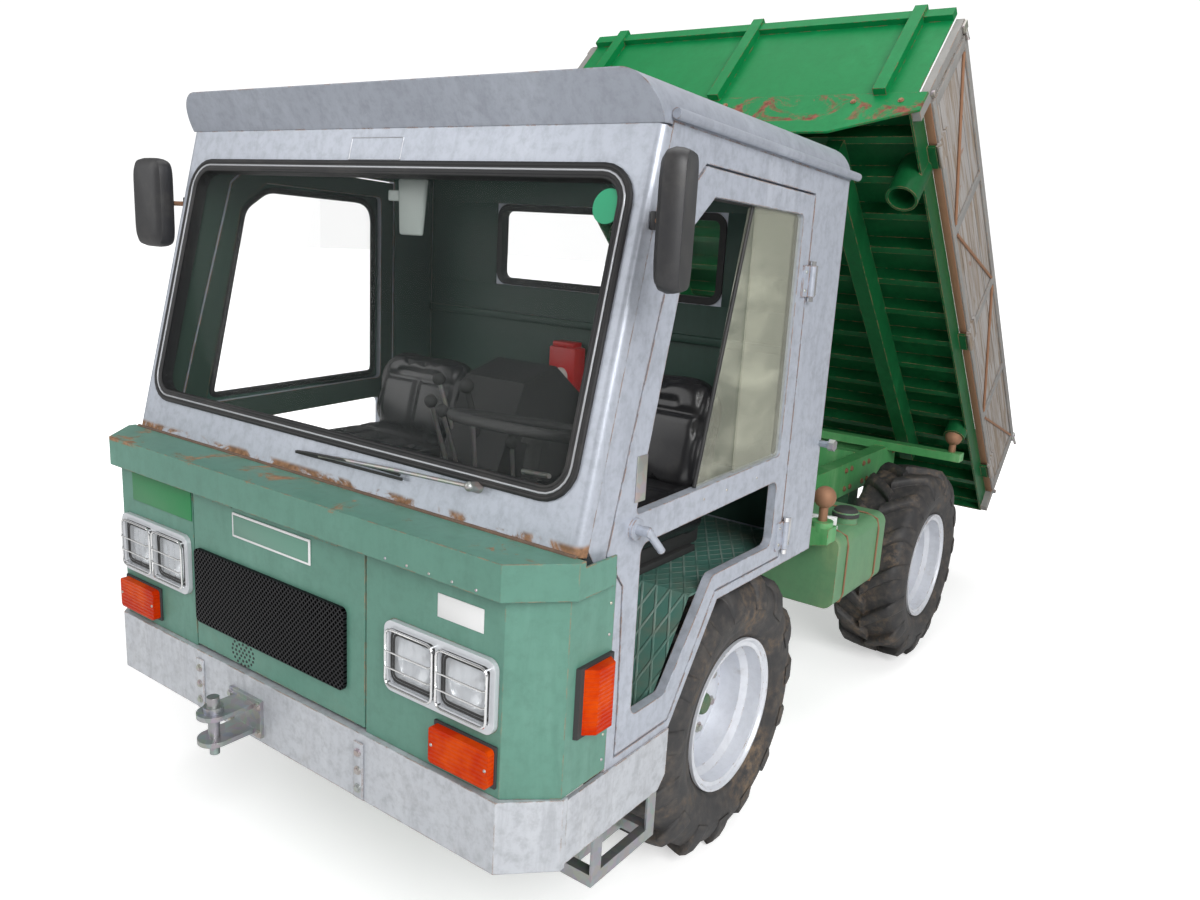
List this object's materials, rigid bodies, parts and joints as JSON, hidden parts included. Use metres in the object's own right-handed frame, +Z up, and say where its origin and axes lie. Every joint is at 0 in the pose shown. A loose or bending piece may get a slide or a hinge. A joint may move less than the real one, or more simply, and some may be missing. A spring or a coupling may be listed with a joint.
{
  "type": "motor transporter",
  "caption": "Forward-control farm transporter with a steel cab, lugged tyres and a drop-side bed tipped to the rear by a cylinder.",
  "frame": {"origin": "middle of the footprint's bounding box, on the ground", "axes": "+X to the vehicle's left, +Y to the rear, +Z up"},
  "size_m": [1.96, 4.0098, 2.5163],
  "materials": {
    "cab_paint": "worn gloss silver",
    "nose_paint": "worn satin sage green",
    "chassis_paint": "worn gloss green",
    "inner_paint": "satin dark green",
    "bumper_paint": "satin silver",
    "rim_paint": "satin silver",
    "board_paint": "weathered brown",
    "steel": "galvanised",
    "rusty_steel": "rusty",
    "chrome": "bright",
    "tyre": "dusty",
    "rubber": "matt",
    "black_plastic": "matt",
    "amber": "gloss",
    "glass": "clear"
  },
  "bodies": {
    "vehicle": {"cab_sides": "cab_paint", "mirrors": "black_plastic", "front_axle": "chassis_paint", "rear_axle": "chassis_paint", "front_frame": "chassis_paint", "chassis": "chassis_paint", "support_balls": "rusty_steel", "engine": "chassis_paint", "transmission": "chassis_paint", "fuel_tank": "chassis_paint", "tow_bracket": "steel", "front_panels": "nose_paint", "brow": "nose_paint", "bumper": "bumper_paint", "side_skirts": "bumper_paint", "screen_panel": "cab_paint", "window_seals": "rubber", "window_glass": "glass", "roof": "cab_paint", "gutters": "cab_paint", "rear_wall": "cab_paint", "cab_floor": "inner_paint", "dashboard": "black_plastic", "steering_column": "black_plastic", "driver_seat": "black_plastic", "passenger_seat": "black_plastic", "console": "black_plastic", "headlamp_bezels": "black_plastic", "headlamp_glass": "glass", "indicators": "amber", "cab_steps": "steel"},
    "knuckle_left": {"knuckle_left": "chassis_paint"},
    "knuckle_right": {"knuckle_right": "chassis_paint"},
    "tie_rod": {"tie_rod": "chassis_paint"},
    "steering_wheel": {"steering_wheel": "black_plastic"},
    "door_left": {"door_left": "cab_paint", "door_glass_left": "glass"},
    "door_right": {"door_right": "cab_paint", "door_glass_right": "glass"},
    "front_hatch": {"front_hatch": "nose_paint", "grille": "black_plastic"},
    "bed": {"bed_frame": "chassis_paint", "bed_headboard": "chassis_paint", "bed_corner_posts": "bumper_paint"},
    "side_board_left": {"bed_side_board_left": "board_paint"},
    "side_board_right": {"bed_side_board_right": "board_paint"},
    "tailgate": {"bed_tailgate": "board_paint"},
    "cylinder_body": {"cylinder_body": "chassis_paint"},
    "cylinder_rod": {"cylinder_rod": "chrome"},
    "wheel_front_left": {"rim_front_left": "rim_paint", "tyre_front_left": "tyre"},
    "wheel_front_right": {"rim_front_right": "rim_paint", "tyre_front_right": "tyre"},
    "wheel_rear_left": {"rim_rear_left": "rim_paint", "tyre_rear_left": "tyre"},
    "wheel_rear_right": {"rim_rear_right": "rim_paint", "tyre_rear_right": "tyre"}
  },
  "joints": [
    {"name": "steer_left", "type": "hinge", "parent": "vehicle", "child": "knuckle_left", "pos_m": [0.52, -0.94391, 0.405], "axis": [0, 0, 1], "range_deg": [-28, 28]},
    {"name": "steer_right", "type": "hinge", "parent": "vehicle", "child": "knuckle_right", "pos_m": [-0.52, -0.94391, 0.405], "axis": [0, 0, 1], "range_deg": [-28, 28]},
    {"name": "tie_rod_slide", "type": "slide", "parent": "vehicle", "child": "tie_rod", "axis": [-1, 0, 0], "range_m": [-0.0636, 0.0636]},
    {"name": "steering_wheel_turn", "type": "hinge", "parent": "vehicle", "child": "steering_wheel", "pos_m": [0.42, -1.43591, 1.19], "axis": [0, 0.1886, 0.9821], "range_deg": [-336.5, 336.5]},
    {"name": "roll_front_left", "type": "hinge", "parent": "knuckle_left", "child": "wheel_front_left", "pos_m": [0.645, -0.94391, 0.405], "axis": [1, 0, 0], "continuous": true},
    {"name": "roll_front_right", "type": "hinge", "parent": "knuckle_right", "child": "wheel_front_right", "pos_m": [-0.645, -0.94391, 0.405], "axis": [1, 0, 0], "continuous": true},
    {"name": "roll_rear_left", "type": "hinge", "parent": "vehicle", "child": "wheel_rear_left", "pos_m": [0.645, 0.76809, 0.405], "axis": [1, 0, 0], "continuous": true},
    {"name": "roll_rear_right", "type": "hinge", "parent": "vehicle", "child": "wheel_rear_right", "pos_m": [-0.645, 0.76809, 0.405], "axis": [1, 0, 0], "continuous": true},
    {"name": "door_left_hinge", "type": "hinge", "parent": "vehicle", "child": "door_left", "pos_m": [0.8093, -0.80591, 1.2], "axis": [0, 0, 1], "range_deg": [0, 85]},
    {"name": "door_right_hinge", "type": "hinge", "parent": "vehicle", "child": "door_right", "pos_m": [-0.8093, -0.80591, 1.2], "axis": [0, 0, -1], "range_deg": [0, 85]},
    {"name": "hatch_hinge", "type": "hinge", "parent": "vehicle", "child": "front_hatch", "pos_m": [0, -1.86221, 1.003], "axis": [-1, 0, 0], "range_deg": [0, 60]},
    {"name": "bed_tip", "type": "hinge", "parent": "vehicle", "child": "bed", "pos_m": [0, 1.17409, 0.89], "axis": [1, 0, 0], "range_deg": [0, 44.2]},
    {"name": "cylinder_swing", "type": "hinge", "parent": "vehicle", "child": "cylinder_body", "pos_m": [0, 0.41609, 0.422], "axis": [-1, 0, 0], "range_deg": [0, 2.81]},
    {"name": "cylinder_slide", "type": "slide", "parent": "cylinder_body", "child": "cylinder_rod", "axis": [0, -0.4395, -0.8982], "range_m": [0, 0.37518]},
    {"name": "side_board_left_hinge", "type": "hinge", "parent": "bed", "child": "side_board_left", "pos_m": [0.787, 0.87778, 1.34553], "axis": [0, 0.7169, -0.6972], "range_deg": [0, 170]},
    {"name": "side_board_right_hinge", "type": "hinge", "parent": "bed", "child": "side_board_right", "pos_m": [-0.787, 0.87778, 1.34553], "axis": [0, -0.7169, 0.6972], "range_deg": [0, 170]},
    {"name": "tailgate_hinge", "type": "hinge", "parent": "bed", "child": "tailgate", "pos_m": [0, 1.7431, 0.50405], "axis": [-1, 0, 0], "range_deg": [0, 170]}
  ],
  "couplings": [
    {"joint": "steer_right", "follows": "steer_left", "ratio": 1},
    {"joint": "tie_rod_slide", "follows": "steer_left", "m_per_rad": 0.13},
    {"joint": "steering_wheel_turn", "follows": "steer_left", "ratio": 12},
    {"joint": "cylinder_swing", "follows": "bed_tip", "ratio": 0.06324},
    {"joint": "cylinder_slide", "follows": "bed_tip", "m_per_rad": 0.4857}
  ]
}
